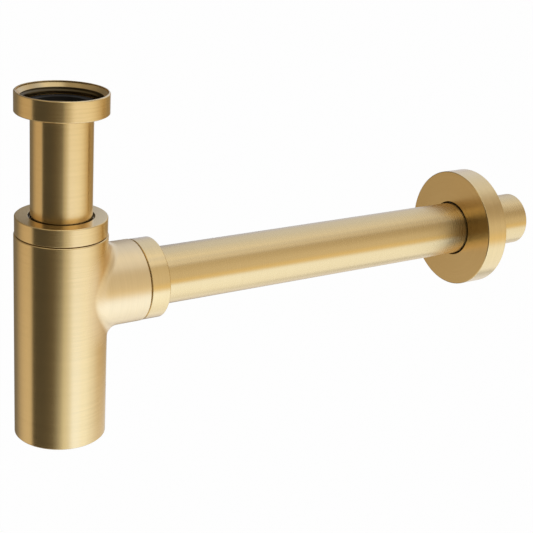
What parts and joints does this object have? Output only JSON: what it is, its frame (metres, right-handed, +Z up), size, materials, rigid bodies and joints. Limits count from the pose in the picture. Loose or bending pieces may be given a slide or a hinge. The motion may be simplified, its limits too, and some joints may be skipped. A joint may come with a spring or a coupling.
{
  "type": "basin bottle trap",
  "caption": "Brushed brass bottle trap for a wash basin: union nut, dip tube, bottle with side branch, compression joints, outlet tube and sliding wall flange.",
  "frame": {"origin": "centre of the inlet gasket's sealing face, at the foot of the inlet nut's thread", "axes": "+Z up along the inlet, +X along the outlet tube to the wall"},
  "size_m": [0.3444, 0.072, 0.188],
  "materials": {
    "brushed_brass": "fine circumferential brush lines, satin gold lacquer",
    "black_rubber": "moulded, matte",
    "nylon": "natural white nylon"
  },
  "bodies": {
    "inlet_nut": {"inlet_nut": "brushed_brass"},
    "inlet_tube": {"inlet_tube": "brushed_brass", "inlet_gasket": "black_rubber"},
    "top_seal": {"top_seal_ring": "black_rubber"},
    "trap_body": {"trap_body": "brushed_brass", "outlet_seal_ring": "black_rubber"},
    "top_slip": {"top_slip_ring": "nylon"},
    "top_nut": {"top_nut": "brushed_brass"},
    "outlet_slip": {"outlet_slip_ring": "nylon"},
    "outlet_nut": {"outlet_nut": "brushed_brass"},
    "base_seal": {"base_oring": "black_rubber"},
    "base_plug": {"base_plug": "brushed_brass"},
    "outlet_tube": {"outlet_tube": "brushed_brass"},
    "wall_flange": {"wall_flange": "brushed_brass", "flange_grip_ring": "black_rubber"}
  },
  "joints": [
    {"name": "inlet_swivel", "type": "hinge", "parent": "inlet_nut", "child": "inlet_tube", "pos_m": [0, 0, 0], "axis": [0, 0, 1], "continuous": true},
    {"name": "height_slide", "type": "slide", "parent": "inlet_tube", "child": "top_seal", "axis": [0, 0, 1], "range_m": [-0.03, 0.01]},
    {"name": "bottle_swivel", "type": "hinge", "parent": "top_seal", "child": "trap_body", "pos_m": [0, 0, -0.0638], "axis": [0, 0, 1], "continuous": true},
    {"name": "top_slip_travel", "type": "slide", "parent": "trap_body", "child": "top_slip", "axis": [0, 0, 1], "range_m": [0, 0.00577]},
    {"name": "top_nut_turn", "type": "hinge", "parent": "top_slip", "child": "top_nut", "pos_m": [0, 0, -0.0634], "axis": [0, 0, 1], "range_deg": [0, 900]},
    {"name": "outlet_slip_travel", "type": "slide", "parent": "trap_body", "child": "outlet_slip", "axis": [1, 0, 0], "range_m": [0, 0.0075]},
    {"name": "outlet_nut_turn", "type": "hinge", "parent": "outlet_slip", "child": "outlet_nut", "pos_m": [0.0481, 0, -0.1009], "axis": [1, 0, 0], "range_deg": [0, 1800]},
    {"name": "base_seal_travel", "type": "slide", "parent": "trap_body", "child": "base_seal", "axis": [0, 0, -1], "range_m": [0, 0.0045]},
    {"name": "base_plug_turn", "type": "hinge", "parent": "base_seal", "child": "base_plug", "pos_m": [0, 0, -0.1775], "axis": [0, 0, -1], "range_deg": [0, 1080]},
    {"name": "outlet_tube_slide", "type": "slide", "parent": "trap_body", "child": "outlet_tube", "axis": [1, 0, 0], "range_m": [-0.01, 0.012]},
    {"name": "flange_slide", "type": "slide", "parent": "outlet_tube", "child": "wall_flange", "axis": [1, 0, 0], "range_m": [-0.19, 0.03]}
  ],
  "couplings": [
    {"joint": "top_nut_turn", "follows": "top_slip_travel", "rad_per_m": 2721.2},
    {"joint": "outlet_nut_turn", "follows": "outlet_slip_travel", "rad_per_m": 4188.8},
    {"joint": "base_plug_turn", "follows": "base_seal_travel", "rad_per_m": 4188.8}
  ]
}
